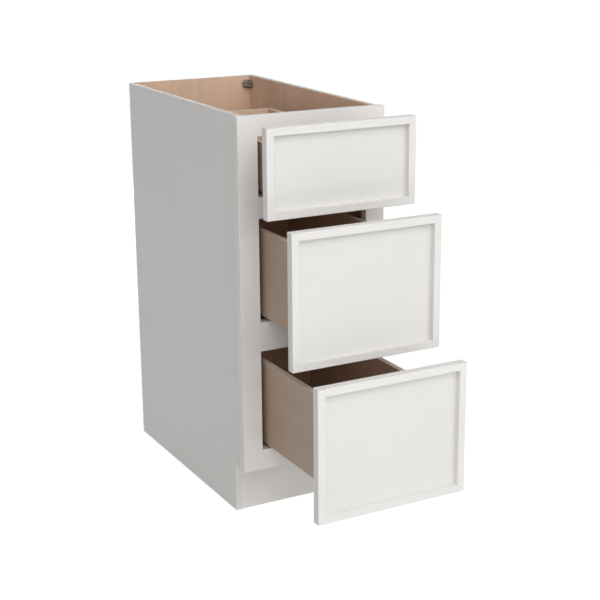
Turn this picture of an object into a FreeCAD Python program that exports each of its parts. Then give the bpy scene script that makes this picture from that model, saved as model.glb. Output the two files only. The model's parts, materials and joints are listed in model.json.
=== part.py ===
"""Three-drawer base cabinet with a face frame, slim framed drawer fronts and undermount slides.

Frame of the part: millimetres, +Z up, the front faces -Y, +X is the right-hand side seen from
the front. The origin is on the floor, on the centre line, in the plane of the wall behind it.
The drawers stand partly open, the top one least and the bottom one most.
"""
import math
import os

import FreeCAD, Part
from FreeCAD import Vector

# ---------------------------------------------------------------- driving dimensions
# carcass
CABINET_WIDTH = 342.9
CABINET_HEIGHT = 876.3
CABINET_DEPTH = 609.6          # wall to the front of the face frame
SIDE_THICKNESS = 12.7
BOTTOM_THICKNESS = 12.7
BACK_THICKNESS = 6.35
DADO_DEPTH = 6.35              # how far the bottom and the back are let into the sides
TOE_HEIGHT = 114.3
TOE_SETBACK = 63.5             # from the front of the face frame to the front edge of the sides
TOE_BOARD_THICKNESS = 12.7
TOE_BOARD_STEP = 1.5           # the board sits this far behind the sides' edges

# face frame
FRAME_THICKNESS = 19.05
FRAME_OVERHANG = 9.5           # the stiles stand past the outer faces of the sides
STILE_WIDTH = 44.45
TOP_RAIL_HEIGHT = 41.3
UPPER_RAIL_HEIGHT = 44.45
LOWER_RAIL_HEIGHT = 63.5
BOTTOM_RAIL_HEIGHT = 44.45
TOP_OPENING_HEIGHT = 125.4     # the two lower openings share the rest
TENON_LENGTH = 9.5
TENON_THICKNESS = 6.35
TENON_SHOULDER = 6.35          # above and below each tenon

# drawer fronts
FRONT_THICKNESS = 19.05
FRONT_MEMBER_WIDTH = 16.0      # stiles and rails of a front
FRONT_PANEL_THICKNESS = 6.35   # flush with the back, so the rest of the thickness is the recess
FRONT_RABBET = 8.0             # seat of the panel behind the stiles and rails
FRONT_TENON_LENGTH = 7.0
FRONT_TENON_THICKNESS = 5.0
FRONT_SIDE_REVEAL = 1.6        # frame left showing beside a front
FRONT_TOP_REVEAL = 4.8
FRONT_BOTTOM_REVEAL = 11.1
FRONT_GAP = 3.2                # between two fronts
TOP_FRONT_HEIGHT = 182.5       # the two lower fronts share the rest
EASED_EDGE = 0.8               # chamfer on the painted front edges

# drawer boxes
BOX_THICKNESS = 12.7
BOX_REAR_ROOM = 71.35          # from a shut box to the back panel
BOX_SIDE_GAP = 10.5            # from the opening's side to the box
BOX_LIFT = 10.0                # from the opening's bottom to the box
SHALLOW_BOX_HEIGHT = 101.6
DEEP_BOX_HEIGHT = 184.15
BOX_BOTTOM_THICKNESS = 6.35
BOX_BOTTOM_RECESS = 12.7       # room under the bottom for the slides
BOX_GROOVE_DEPTH = 6.35
BOX_GROOVE_PLAY = 0.5          # the bottom floats this much at the ends of its grooves
TAIL_PITCH = 25.4
TAIL_WIDTH = 15.0              # at the wide end
TAIL_SLOPE = 10.0              # degrees
BLIND_LAP = 4.0                # wood left in front of the tails in the box front

# slides
BUMPER_GAP = 1.5               # shut, between the face frame and the drawer fronts
SLIDE_SHORTFALL = 25.4         # a slide's travel is this much less than the box's length
SLIDE_SHEET = 1.2
SLIDE_SETBACK = 0.5            # behind the face frame
SLIDE_WIDTH = 19.0             # of the fixed and the drawer channels
SLIDE_LIP = 2.5
SLIDE_BASE_LIFT = 3.0          # underside of the fixed member above the opening's bottom
FIXED_CHANNEL_HEIGHT = 9.0
RUNNING_GAP = 0.6              # between members that slide past each other
SLIDE_SIDE_PLAY = 0.8          # between a channel's legs and what stands beside them
MIDDLE_LAP = 226.0             # fully out, the middle member still laps the fixed one
MIDDLE_NECK = 2.4
MIDDLE_FRONT_INSET = 2.5       # behind the fixed member's front end when shut
WEB_HEIGHT = 21.0              # mounting web of the fixed member
WEB_GAP = 0.3                  # from the opening's side to the web
WEB_FRONT_INSET = 3.0          # the web's tab ends this far behind the front of the frame
SLIDE_OVERHANG = 10.0          # the fixed member runs past the shut box at the rear
DRAWER_MEMBER_INSET = 3.0      # behind the box front
HOOK_HEIGHT = 16.0
HOOK_PIN_RADIUS = 2.5
HOOK_PIN_LENGTH = 8.0
HOOK_PLAY = 0.3

# rear brackets of the slides
SOCKET_WALL = 3.0
SOCKET_REACH = 20.0            # how far a bracket reaches along the fixed member
SOCKET_PLATE_HEIGHT = 40.0

# corner brackets under the worktop
BRACKET_LEG = 20.0
BRACKET_HEIGHT = 20.0
BRACKET_WALL = 3.0
BRACKET_DROP = 10.0            # below the top edge
BRACKET_CORNER = 7.5
SHELF_THICKNESS = 3.5
SHELF_LIFT = 5.0
SHELF_REACH = 17.0
WORKTOP_HOLE_RADIUS = 2.5
WORKTOP_HOLE_INSET = 9.5       # from both walls of the corner

# locking clips under the drawers
CLIP_LENGTH = 62.0
CLIP_WIDTH = 26.0
CLIP_HEIGHT = 9.0
CLIP_FOOT = 3.0
CLIP_GAP = 0.6
LEVER_LENGTH = 24.0
LEVER_WIDTH = 12.0
LEVER_THICKNESS = 4.0

# fasteners and bumpers
SMALL_ROUND_SIDES = 8          # screws and bumpers are many, so they get flat sides
SCREW_RADIUS = 1.75
SCREW_HEAD_RADIUS = 3.6
SCREW_HEAD_HEIGHT = 2.2
SCREW_GRIP = 9.0               # into a thick board
SCREW_SHORT_GRIP = 5.0         # into the thin back and the front's panel
BUMPER_RADIUS = 4.0
BUMPER_THICKNESS = 1.2
BUMPER_INSET = 8.0             # bumper centre from the edges of the front

# how far each drawer stands open
TOP_DRAWER_OPEN = 106.0
MIDDLE_DRAWER_OPEN = 206.5
BOTTOM_DRAWER_OPEN = 307.0

# ---------------------------------------------------------------- derived places
HALF_WIDTH = CABINET_WIDTH / 2
FRAME_FRONT = -CABINET_DEPTH
FRAME_BACK = FRAME_FRONT + FRAME_THICKNESS
SIDE_OUTER = HALF_WIDTH - FRAME_OVERHANG
SIDE_INNER = SIDE_OUTER - SIDE_THICKNESS
BACK_FRONT = -BACK_THICKNESS
TOE_EDGE = FRAME_FRONT + TOE_SETBACK
OPENING_HALF = HALF_WIDTH - STILE_WIDTH
BOTTOM_TOP = TOE_HEIGHT + BOTTOM_RAIL_HEIGHT

LOWER_OPENING_HEIGHT = (
    CABINET_HEIGHT - TOE_HEIGHT - TOP_RAIL_HEIGHT - TOP_OPENING_HEIGHT
    - UPPER_RAIL_HEIGHT - LOWER_RAIL_HEIGHT - BOTTOM_RAIL_HEIGHT) / 2
BOTTOM_SILL = BOTTOM_TOP
LOWER_RAIL_BOTTOM = BOTTOM_SILL + LOWER_OPENING_HEIGHT
MIDDLE_SILL = LOWER_RAIL_BOTTOM + LOWER_RAIL_HEIGHT
UPPER_RAIL_BOTTOM = MIDDLE_SILL + LOWER_OPENING_HEIGHT
TOP_SILL = UPPER_RAIL_BOTTOM + UPPER_RAIL_HEIGHT
TOP_RAIL_BOTTOM = TOP_SILL + TOP_OPENING_HEIGHT

FRONT_HALF = HALF_WIDTH - FRONT_SIDE_REVEAL
LOWER_FRONT_HEIGHT = (
    CABINET_HEIGHT - TOE_HEIGHT - FRONT_TOP_REVEAL - FRONT_BOTTOM_REVEAL
    - 2 * FRONT_GAP - TOP_FRONT_HEIGHT) / 2
BOTTOM_FRONT_Z = TOE_HEIGHT + FRONT_BOTTOM_REVEAL
MIDDLE_FRONT_Z = BOTTOM_FRONT_Z + LOWER_FRONT_HEIGHT + FRONT_GAP
TOP_FRONT_Z = MIDDLE_FRONT_Z + LOWER_FRONT_HEIGHT + FRONT_GAP

# a shut drawer: back of its front, then the box behind it
SHUT_FRONT_BACK = FRAME_FRONT - BUMPER_GAP
BOX_HALF = OPENING_HALF - BOX_SIDE_GAP
BOX_INNER = BOX_HALF - BOX_THICKNESS
BOX_REAR = BACK_FRONT - BOX_REAR_ROOM
FIXED_FRONT = FRAME_BACK + SLIDE_SETBACK
FIXED_REAR = BOX_REAR + SLIDE_OVERHANG
CHANNEL_OUTER = BOX_INNER - SLIDE_SIDE_PLAY
CHANNEL_INNER = CHANNEL_OUTER - SLIDE_WIDTH
CHANNEL_MIDDLE = (CHANNEL_OUTER + CHANNEL_INNER) / 2
SLIDE_TRAVEL = BOX_REAR - SHUT_FRONT_BACK - SLIDE_SHORTFALL
MIDDLE_LENGTH = SLIDE_TRAVEL / 2 + MIDDLE_LAP


# ---------------------------------------------------------------- helpers
def block(x0, x1, y0, y1, z0, z1):
    """A board between two corners."""
    return Part.makeBox(x1 - x0, y1 - y0, z1 - z0, Vector(x0, y0, z0))


def extrude(points, direction):
    """A closed outline of 3-D points, extruded along a vector."""
    return Part.Face(Part.makePolygon(points + points[:1])).extrude(direction)


def along_x(outline, x0, x1):
    """Outline in (y, z), extruded from x0 to x1."""
    return extrude([Vector(x0, y, z) for y, z in outline], Vector(x1 - x0, 0, 0))


def along_y(outline, y0, y1):
    """Outline in (x, z), extruded from y0 to y1."""
    return extrude([Vector(x, y0, z) for x, z in outline], Vector(0, y1 - y0, 0))


def along_z(outline, z0, z1):
    """Outline in (x, y), extruded from z0 to z1."""
    return extrude([Vector(x, y, z0) for x, y in outline], Vector(0, 0, z1 - z0))


def cylinder(radius, length, start, direction):
    return Part.makeCylinder(radius, length, start, direction)


def rod(radius, length, start, direction):
    """A bar with flat sides that touch a round one of that radius."""
    corner = radius / math.cos(math.pi / SMALL_ROUND_SIDES)
    turns = [2 * math.pi * (i + 0.5) / SMALL_ROUND_SIDES for i in range(SMALL_ROUND_SIDES)]
    bar = along_z([(corner * math.cos(turn), corner * math.sin(turn)) for turn in turns],
                  0, length)
    bar.Placement = FreeCAD.Placement(start, FreeCAD.Rotation(Vector(0, 0, 1), direction))
    return bar


def mirrored(shape):
    """The same piece on the other side of the centre line."""
    return shape.mirror(Vector(0, 0, 0), Vector(1, 0, 0))


def pair(shape):
    """The right-hand piece and its mirror image on the left."""
    return [shape, mirrored(shape)]


def eased(shape, chosen):
    """Chamfer the edges that the test picks."""
    return shape.makeChamfer(EASED_EDGE, [edge for edge in shape.Edges if chosen(edge)])


def screw(seat, direction, grip, wall):
    """A pan-head screw: its head sits on a wall at 'seat' and its shank goes along 'direction'."""
    head_top = seat - direction * SCREW_HEAD_HEIGHT
    head = rod(SCREW_HEAD_RADIUS, SCREW_HEAD_HEIGHT, head_top, direction)
    return head.fuse(rod(SCREW_RADIUS, wall + grip, seat, direction))


def drilled(shape, screws):
    """Holes for the screws' shanks and heads, so nothing overlaps."""
    for one in screws:
        if one.BoundBox.intersect(shape.BoundBox):
            shape = shape.cut(one)
    return shape


def save(name, shapes):
    """One file per node; a node of identical pieces holds them all."""
    solids = shapes if isinstance(shapes, list) else [shapes]
    shape = solids[0] if len(solids) == 1 else Part.makeCompound(solids)
    if not shape.isValid() or any(len(s.Solids) != 1 for s in solids):
        raise ValueError(name + " is not made of clean single solids")
    shape.exportStep("parts/" + name + ".step")
    print("%-32s %2d solid(s) %12.1f mm3" % (name, len(solids), shape.Volume))


# ---------------------------------------------------------------- carcass
def side_panel(screws):
    """The right-hand side, with the toe notch, the dado for the bottom and the back's rabbet."""
    outline = [(0, 0), (0, CABINET_HEIGHT), (FRAME_BACK, CABINET_HEIGHT), (FRAME_BACK, TOE_HEIGHT),
               (TOE_EDGE, TOE_HEIGHT), (TOE_EDGE, 0)]
    panel = along_x(outline, SIDE_INNER, SIDE_OUTER)
    dado = block(SIDE_INNER, SIDE_INNER + DADO_DEPTH, FRAME_BACK, BACK_FRONT,
                 BOTTOM_TOP - BOTTOM_THICKNESS, BOTTOM_TOP)
    rabbet = block(SIDE_INNER, SIDE_INNER + DADO_DEPTH, BACK_FRONT, 0, 0, CABINET_HEIGHT)
    return drilled(panel.cut([dado, rabbet]), screws)


def carcass(screws):
    inner = SIDE_INNER + DADO_DEPTH
    right = side_panel(screws)
    save("side_panel_right", right)
    save("side_panel_left", mirrored(right))
    save("back_panel", drilled(block(-inner, inner, BACK_FRONT, 0, 0, CABINET_HEIGHT), screws))
    save("bottom_panel", block(-inner, inner, FRAME_BACK, BACK_FRONT,
                               BOTTOM_TOP - BOTTOM_THICKNESS, BOTTOM_TOP))
    toe_front = TOE_EDGE + TOE_BOARD_STEP
    save("toe_board", block(-SIDE_INNER, SIDE_INNER, toe_front, toe_front + TOE_BOARD_THICKNESS,
                            0, BOTTOM_TOP - BOTTOM_THICKNESS))


# ---------------------------------------------------------------- face frame
FRAME_RAILS = {
    "frame_rail_top": (TOP_RAIL_BOTTOM, TOP_RAIL_HEIGHT),
    "frame_rail_upper": (UPPER_RAIL_BOTTOM, UPPER_RAIL_HEIGHT),
    "frame_rail_lower": (LOWER_RAIL_BOTTOM, LOWER_RAIL_HEIGHT),
    "frame_rail_bottom": (TOE_HEIGHT, BOTTOM_RAIL_HEIGHT),
}


def frame_tenon(bottom, height):
    """The right-hand tenon of a rail, let into the stile."""
    middle = (FRAME_FRONT + FRAME_BACK) / 2
    return block(OPENING_HALF, OPENING_HALF + TENON_LENGTH,
                 middle - TENON_THICKNESS / 2, middle + TENON_THICKNESS / 2,
                 bottom + TENON_SHOULDER, bottom + height - TENON_SHOULDER)


def face_frame(screws):
    stile = block(OPENING_HALF, HALF_WIDTH, FRAME_FRONT, FRAME_BACK, TOE_HEIGHT, CABINET_HEIGHT)
    stile = eased(stile, lambda edge: edge.BoundBox.YMax < FRAME_FRONT + 0.01
                  and edge.BoundBox.XMin > HALF_WIDTH - 0.01)
    stile = stile.cut([frame_tenon(*rail) for rail in FRAME_RAILS.values()])
    stile = drilled(stile, screws)
    save("frame_stile_right", stile)
    save("frame_stile_left", mirrored(stile))
    for name, (bottom, height) in FRAME_RAILS.items():
        rail = block(-OPENING_HALF, OPENING_HALF, FRAME_FRONT, FRAME_BACK, bottom, bottom + height)
        save(name, drilled(rail.fuse(pair(frame_tenon(bottom, height))).removeSplitter(), screws))


# ---------------------------------------------------------------- corner brackets
BRACKET_TOP = CABINET_HEIGHT - BRACKET_DROP
BRACKET_BOTTOM = BRACKET_TOP - BRACKET_HEIGHT
BRACKET_SCREW_Z = BRACKET_TOP - (BRACKET_HEIGHT - SHELF_LIFT - SHELF_THICKNESS) / 2
BRACKET_SCREW_INSET = (BRACKET_WALL + BRACKET_LEG) / 2


def bracket_leg():
    """A leg flat on the wall behind it, with rounded outer corners; the corner is at (0, 0)."""
    leg = block(0, BRACKET_LEG, -BRACKET_WALL, 0, BRACKET_BOTTOM, BRACKET_TOP)
    outer = [edge for edge in leg.Edges
             if edge.BoundBox.XMin > BRACKET_LEG - 0.01 and edge.BoundBox.YLength > 0.01]
    return leg.makeFillet(BRACKET_CORNER, outer)


def corner_bracket(screws):
    """Two legs and a shelf with the worktop's screw hole, in the corner x >= 0, y <= 0."""
    leg = bracket_leg()
    other = leg.mirror(Vector(0, 0, 0), Vector(1, 1, 0))
    short = BRACKET_WALL + BRACKET_CORNER
    shelf = along_z([(0, 0), (SHELF_REACH, 0), (SHELF_REACH, -short), (short, -SHELF_REACH),
                     (0, -SHELF_REACH)],
                    BRACKET_BOTTOM + SHELF_LIFT, BRACKET_BOTTOM + SHELF_LIFT + SHELF_THICKNESS)
    hole = cylinder(WORKTOP_HOLE_RADIUS, BRACKET_HEIGHT,
                    Vector(WORKTOP_HOLE_INSET, -WORKTOP_HOLE_INSET, BRACKET_BOTTOM),
                    Vector(0, 0, 1))
    return drilled(leg.fuse([other, shelf]).removeSplitter().cut(hole), screws)


def bracket_screws(back_grip):
    """One screw through each leg: into the board behind (+Y) and into the side (-X)."""
    back = screw(Vector(BRACKET_SCREW_INSET, -BRACKET_WALL, BRACKET_SCREW_Z), Vector(0, 1, 0),
                 back_grip, BRACKET_WALL)
    side = screw(Vector(BRACKET_WALL, -BRACKET_SCREW_INSET, BRACKET_SCREW_Z), Vector(-1, 0, 0),
                 SCREW_GRIP, BRACKET_WALL)
    return [back, side]


def corner_brackets():
    """All four brackets and their screws: the rear pair, and the front pair behind the frame."""
    brackets, screws = [], []
    for facing, wall, grip in ((1, BACK_FRONT, SCREW_SHORT_GRIP), (-1, FRAME_BACK, SCREW_GRIP)):
        pieces = bracket_screws(grip)
        pieces = [corner_bracket(pieces)] + pieces
        if facing < 0:
            pieces = [p.mirror(Vector(0, 0, 0), Vector(0, 1, 0)) for p in pieces]
        for p in pieces:
            p.translate(Vector(-SIDE_INNER, wall, 0))
        brackets += pair(pieces[0])
        screws += pair(pieces[1]) + pair(pieces[2])
    return brackets, screws


# ---------------------------------------------------------------- slides
def lipped_channel(width, height, sheet, lip):
    """Section of a channel with inward lips, open upwards, from (0, 0)."""
    return [(0, 0), (width, 0), (width, height), (width - lip, height),
            (width - lip, height - sheet), (width - sheet, height - sheet), (width - sheet, sheet),
            (sheet, sheet), (sheet, height - sheet), (lip, height - sheet), (lip, height),
            (0, height)]


def middle_section(bottom, lower_top, upper_bottom, top, half):
    """Section of the middle member: a channel opening down and one opening up, back to back."""
    sheet, neck = SLIDE_SHEET, MIDDLE_NECK / 2
    right = [(half - sheet, lower_top - sheet), (half - sheet, bottom), (half, bottom),
             (half, lower_top), (neck, lower_top), (neck, upper_bottom), (half, upper_bottom),
             (half, top), (half - sheet, top), (half - sheet, upper_bottom + sheet)]
    return right + [(-x, z) for x, z in reversed(right)]


def fixed_member(sill):
    """The right-hand member screwed to the cabinet: channel, base and mounting web."""
    base = sill + SLIDE_BASE_LIFT
    channel = along_y([(CHANNEL_INNER + x, base + z) for x, z in
                       lipped_channel(SLIDE_WIDTH, FIXED_CHANNEL_HEIGHT, SLIDE_SHEET, SLIDE_LIP)],
                      FIXED_FRONT, FIXED_REAR)
    web_outer = OPENING_HALF - WEB_GAP
    angle = along_y([(CHANNEL_OUTER - SLIDE_SHEET, base), (web_outer, base),
                     (web_outer, base + WEB_HEIGHT), (web_outer - SLIDE_SHEET, base + WEB_HEIGHT),
                     (web_outer - SLIDE_SHEET, base + SLIDE_SHEET),
                     (CHANNEL_OUTER - SLIDE_SHEET, base + SLIDE_SHEET)], FIXED_FRONT, FIXED_REAR)
    tab = block(web_outer - SLIDE_SHEET, web_outer, FRAME_FRONT + WEB_FRONT_INSET, FIXED_FRONT,
                base, base + WEB_HEIGHT)
    return channel.fuse([angle, tab]).removeSplitter()


def drawer_member_places(sill):
    """Bottom and top of the drawer's channel over a sill."""
    bottom = sill + SLIDE_BASE_LIFT + FIXED_CHANNEL_HEIGHT + RUNNING_GAP
    return bottom, sill + BOX_LIFT + BOX_BOTTOM_RECESS


def middle_member(sill, shift):
    """The right-hand member between the other two, half as far out as the drawer."""
    lower = sill + SLIDE_BASE_LIFT
    upper_lip, top = drawer_member_places(sill)
    fixed_lip = lower + FIXED_CHANNEL_HEIGHT - SLIDE_SHEET
    section = middle_section(lower + SLIDE_SHEET + RUNNING_GAP, fixed_lip - RUNNING_GAP,
                             upper_lip + SLIDE_SHEET + RUNNING_GAP,
                             top - SLIDE_SHEET - RUNNING_GAP,
                             SLIDE_WIDTH / 2 - SLIDE_SHEET - SLIDE_SIDE_PLAY)
    front = FIXED_FRONT + MIDDLE_FRONT_INSET
    member = along_y([(CHANNEL_MIDDLE + x, z) for x, z in section], front, front + MIDDLE_LENGTH)
    member.translate(Vector(0, -shift, 0))
    return member


def drawer_member(sill):
    """The right-hand channel under the box, with a hook that pins the back board."""
    bottom, top = drawer_member_places(sill)
    height = top - bottom
    section = [(CHANNEL_INNER + x, top - z) for x, z in
               lipped_channel(SLIDE_WIDTH, height, SLIDE_SHEET, SLIDE_LIP)]
    front = SHUT_FRONT_BACK + BOX_THICKNESS + DRAWER_MEMBER_INSET
    rear = BOX_REAR + HOOK_PLAY
    channel = along_y(section, front, rear)
    plate = block(CHANNEL_INNER, CHANNEL_OUTER, rear, rear + SLIDE_SHEET,
                  top - SLIDE_SHEET, top + HOOK_HEIGHT)
    pin = cylinder(HOOK_PIN_RADIUS, HOOK_PIN_LENGTH + HOOK_PLAY, hook_place(sill, rear),
                   Vector(0, -1, 0))
    return channel.fuse([plate, pin]).removeSplitter()


def hook_place(sill, y):
    """Centre of the hook's pin."""
    return Vector(CHANNEL_MIDDLE, y,
                  sill + BOX_LIFT + BOX_BOTTOM_RECESS + HOOK_HEIGHT - 2 * HOOK_PIN_RADIUS)


def rear_bracket(sill, screws):
    """The moulded socket that carries the fixed member's rear end on the back panel."""
    web_outer = OPENING_HALF - WEB_GAP
    outer, inner = web_outer + SOCKET_WALL, CHANNEL_INNER - SOCKET_WALL
    front = FIXED_REAR - SOCKET_REACH
    floor = block(inner, outer, front, BACK_FRONT, sill, sill + SLIDE_BASE_LIFT)
    wall_top = sill + SLIDE_BASE_LIFT + WEB_HEIGHT
    wall = along_x([(front, sill), (BACK_FRONT, sill), (BACK_FRONT, wall_top),
                    (front + SOCKET_REACH / 2, wall_top), (front, sill + WEB_HEIGHT / 2)],
                   web_outer, outer)
    plate = block(inner, outer, BACK_FRONT - SOCKET_WALL, BACK_FRONT, sill,
                  sill + SOCKET_PLATE_HEIGHT)
    rib = along_x([(FIXED_REAR + SOCKET_WALL, sill), (BACK_FRONT, sill),
                   (BACK_FRONT, sill + SOCKET_PLATE_HEIGHT * 0.8)], inner, inner + SOCKET_WALL)
    corners = [edge for edge in plate.Edges
               if edge.BoundBox.ZMin > sill + SOCKET_PLATE_HEIGHT - 0.01
               and edge.BoundBox.YLength > 0.01]
    plate = plate.makeFillet(BRACKET_CORNER, corners)
    return drilled(floor.fuse([wall, plate, rib]).removeSplitter(), screws)


def slide_screws(sill):
    """The web's screw into the stile and the bracket's screw into the back panel."""
    height = sill + SLIDE_BASE_LIFT + WEB_HEIGHT / 2
    into_stile = screw(Vector(OPENING_HALF - WEB_GAP - SLIDE_SHEET,
                              (FRAME_FRONT + FRAME_BACK) / 2, height),
                       Vector(1, 0, 0), SCREW_GRIP, SLIDE_SHEET + WEB_GAP)
    into_back = screw(Vector(CHANNEL_MIDDLE, BACK_FRONT - SOCKET_WALL,
                             sill + SOCKET_PLATE_HEIGHT * 0.7),
                      Vector(0, 1, 0), SCREW_SHORT_GRIP, SOCKET_WALL)
    return [into_stile, into_back]


# ---------------------------------------------------------------- drawers
def tails(y_wide, y_narrow, bottom, height):
    """Dovetails on the end of the right-hand side board, wide at y_wide, through its thickness."""
    count = int(height // TAIL_PITCH)
    spread = height / count
    taper = abs(y_wide - y_narrow) * math.tan(math.radians(TAIL_SLOPE))
    wide, narrow = TAIL_WIDTH / 2, TAIL_WIDTH / 2 - taper
    cuts = []
    for i in range(count):
        z = bottom + (i + 0.5) * spread
        cuts.append(along_x([(y_wide, z - wide), (y_narrow, z - narrow), (y_narrow, z + narrow),
                             (y_wide, z + wide)], BOX_INNER, BOX_HALF))
    return cuts


def drawer_box(sill, height):
    """Side boards, front, back and bottom of a box with dovetailed corners, shut."""
    bottom, front, rear = sill + BOX_LIFT, SHUT_FRONT_BACK, BOX_REAR
    top = bottom + height
    panel_z = bottom + BOX_BOTTOM_RECESS
    panel_top = panel_z + BOX_BOTTOM_THICKNESS

    groove = BOX_GROOVE_DEPTH
    groove_half = BOX_INNER + groove
    groove_front = front + BOX_THICKNESS - groove
    groove_space = block(-groove_half, groove_half, groove_front, rear, panel_z, panel_top)
    panel = block(-groove_half + BOX_GROOVE_PLAY, groove_half - BOX_GROOVE_PLAY,
                  groove_front + BOX_GROOVE_PLAY, rear, panel_z, panel_top)

    front_tails = tails(front + BLIND_LAP, front + BOX_THICKNESS, bottom, height)
    back_tails = tails(rear, rear - BOX_THICKNESS, panel_top, top - panel_top)
    both = front_tails + back_tails
    both += [mirrored(tail) for tail in both]

    front_board = block(-BOX_HALF, BOX_HALF, front, front + BOX_THICKNESS, bottom, top).cut(both)
    back_board = block(-BOX_HALF, BOX_HALF, rear - BOX_THICKNESS, rear, panel_top, top).cut(both)
    side = block(BOX_INNER, BOX_HALF, front + BLIND_LAP, rear, bottom, top)
    side = side.cut([front_board, back_board, groove_space])

    pin_hole = cylinder(HOOK_PIN_RADIUS + HOOK_PLAY, BOX_THICKNESS, hook_place(sill, rear),
                        Vector(0, -1, 0))
    back_board = back_board.cut(pair(pin_hole))
    return {"box_side_right": side, "box_side_left": mirrored(side),
            "box_front": front_board.cut(groove_space), "box_back": back_board,
            "box_bottom": panel}


def drawer_front(bottom, height):
    """Stiles, rails and recessed panel of a shut front."""
    back, front = SHUT_FRONT_BACK, SHUT_FRONT_BACK - FRONT_THICKNESS
    top = bottom + height
    inner = FRONT_HALF - FRONT_MEMBER_WIDTH
    low, high = bottom + FRONT_MEMBER_WIDTH, top - FRONT_MEMBER_WIDTH
    seat = block(-inner - FRONT_RABBET, inner + FRONT_RABBET, back - FRONT_PANEL_THICKNESS, back,
                 low - FRONT_RABBET, high + FRONT_RABBET)
    tenon_middle = (front + back - FRONT_PANEL_THICKNESS) / 2
    tenon_height = FRONT_MEMBER_WIDTH / 2

    def tenon(z0):
        return block(inner, inner + FRONT_TENON_LENGTH,
                     tenon_middle - FRONT_TENON_THICKNESS / 2,
                     tenon_middle + FRONT_TENON_THICKNESS / 2, z0, z0 + tenon_height)

    def on_front_rim(edge, *sides):
        box = edge.BoundBox
        return box.YMax < front + 0.01 and any(side(box) for side in sides)

    low_z = bottom + FRONT_MEMBER_WIDTH / 4
    high_z = top - FRONT_MEMBER_WIDTH / 4 - tenon_height
    stile = block(inner, FRONT_HALF, front, back, bottom, top)
    stile = eased(stile, lambda edge: on_front_rim(
        edge, lambda b: b.XMin > FRONT_HALF - 0.01, lambda b: b.ZMin > top - 0.01,
        lambda b: b.ZMax < bottom + 0.01))
    stile = stile.cut([seat, tenon(low_z), tenon(high_z)])
    rails = []
    for z0, tenon_z, rim in ((bottom, low_z, lambda b: b.ZMax < bottom + 0.01),
                             (top - FRONT_MEMBER_WIDTH, high_z, lambda b: b.ZMin > top - 0.01)):
        rail = block(-inner, inner, front, back, z0, z0 + FRONT_MEMBER_WIDTH)
        rail = eased(rail, lambda edge: on_front_rim(edge, rim))
        rails.append(rail.fuse(pair(tenon(tenon_z))).removeSplitter().cut(seat))
    return {"front_stiles": pair(stile), "front_rails": rails, "front_panel": seat}


def locking_clip(sill):
    """The right-hand catch under the box, at the front end of the drawer's channel."""
    top = sill + BOX_LIFT + BOX_BOTTOM_RECESS
    outer = CHANNEL_INNER - CLIP_GAP
    front = SHUT_FRONT_BACK + BOX_THICKNESS
    foot = block(outer - CLIP_WIDTH, outer, front, front + CLIP_LENGTH, top - CLIP_FOOT, top)
    lower = top - CLIP_HEIGHT
    housing = along_x([(front, lower), (front + CLIP_LENGTH * 0.6, lower),
                       (front + CLIP_LENGTH * 0.8, top - CLIP_FOOT), (front, top - CLIP_FOOT)],
                      outer - CLIP_WIDTH / 2, outer)
    lever_inner = outer - CLIP_WIDTH - LEVER_LENGTH
    lever = along_z([(outer - CLIP_WIDTH / 2, front + CLIP_FOOT),
                     (lever_inner, front + CLIP_FOOT + LEVER_WIDTH / 3),
                     (lever_inner, front + CLIP_FOOT + LEVER_WIDTH),
                     (outer - CLIP_WIDTH / 2, front + CLIP_FOOT + LEVER_WIDTH)],
                    lower, lower + LEVER_THICKNESS)
    return foot.fuse([housing, lever]).removeSplitter()


def front_screws(sill, height):
    """Screws from inside the box through its front into the panel of the drawer front."""
    places = [sill + BOX_LIFT + BOX_BOTTOM_RECESS + BOX_BOTTOM_THICKNESS + 4 * SCREW_HEAD_RADIUS,
              sill + BOX_LIFT + height - 4 * SCREW_HEAD_RADIUS]
    return [screw(Vector(x, SHUT_FRONT_BACK + BOX_THICKNESS, z), Vector(0, -1, 0),
                  SCREW_SHORT_GRIP, BOX_THICKNESS)
            for z in places for x in (-BOX_INNER / 2, BOX_INNER / 2)]


def bumpers(bottom, height):
    """Round pads on the back of the front that meet the face frame."""
    pads = []
    for z in (bottom + BUMPER_INSET, bottom + height - BUMPER_INSET):
        pads += pair(rod(BUMPER_RADIUS, BUMPER_THICKNESS,
                         Vector(FRONT_HALF - BUMPER_INSET, SHUT_FRONT_BACK, z), Vector(0, 1, 0)))
    return pads


def drawer(name, sill, box_height, front_z, front_height, opened):
    """Every piece of one drawer, moved out to where it stands open."""
    screws = front_screws(sill, box_height)
    pieces = drawer_box(sill, box_height)
    pieces["box_front"] = drilled(pieces["box_front"], screws)
    pieces.update(drawer_front(front_z, front_height))
    pieces["front_panel"] = drilled(pieces["front_panel"], screws)
    pieces["front_screws"] = screws
    pieces["bumpers"] = bumpers(front_z, front_height)
    pieces["slide_channels"] = pair(drawer_member(sill))
    pieces["locking_clips"] = pair(locking_clip(sill))
    for piece, shapes in pieces.items():
        shapes = shapes if isinstance(shapes, list) else [shapes]
        for shape in shapes:
            shape.translate(Vector(0, -opened, 0))
        save(name + "_" + piece, shapes)
    save(name + "_slide_middles", pair(middle_member(sill, opened / 2)))


# ---------------------------------------------------------------- the whole cabinet
DRAWERS = {
    "top_drawer": (TOP_SILL, SHALLOW_BOX_HEIGHT, TOP_FRONT_Z, TOP_FRONT_HEIGHT,
                   TOP_DRAWER_OPEN),
    "middle_drawer": (MIDDLE_SILL, DEEP_BOX_HEIGHT, MIDDLE_FRONT_Z, LOWER_FRONT_HEIGHT,
                      MIDDLE_DRAWER_OPEN),
    "bottom_drawer": (BOTTOM_SILL, DEEP_BOX_HEIGHT, BOTTOM_FRONT_Z, LOWER_FRONT_HEIGHT,
                      BOTTOM_DRAWER_OPEN),
}


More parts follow.
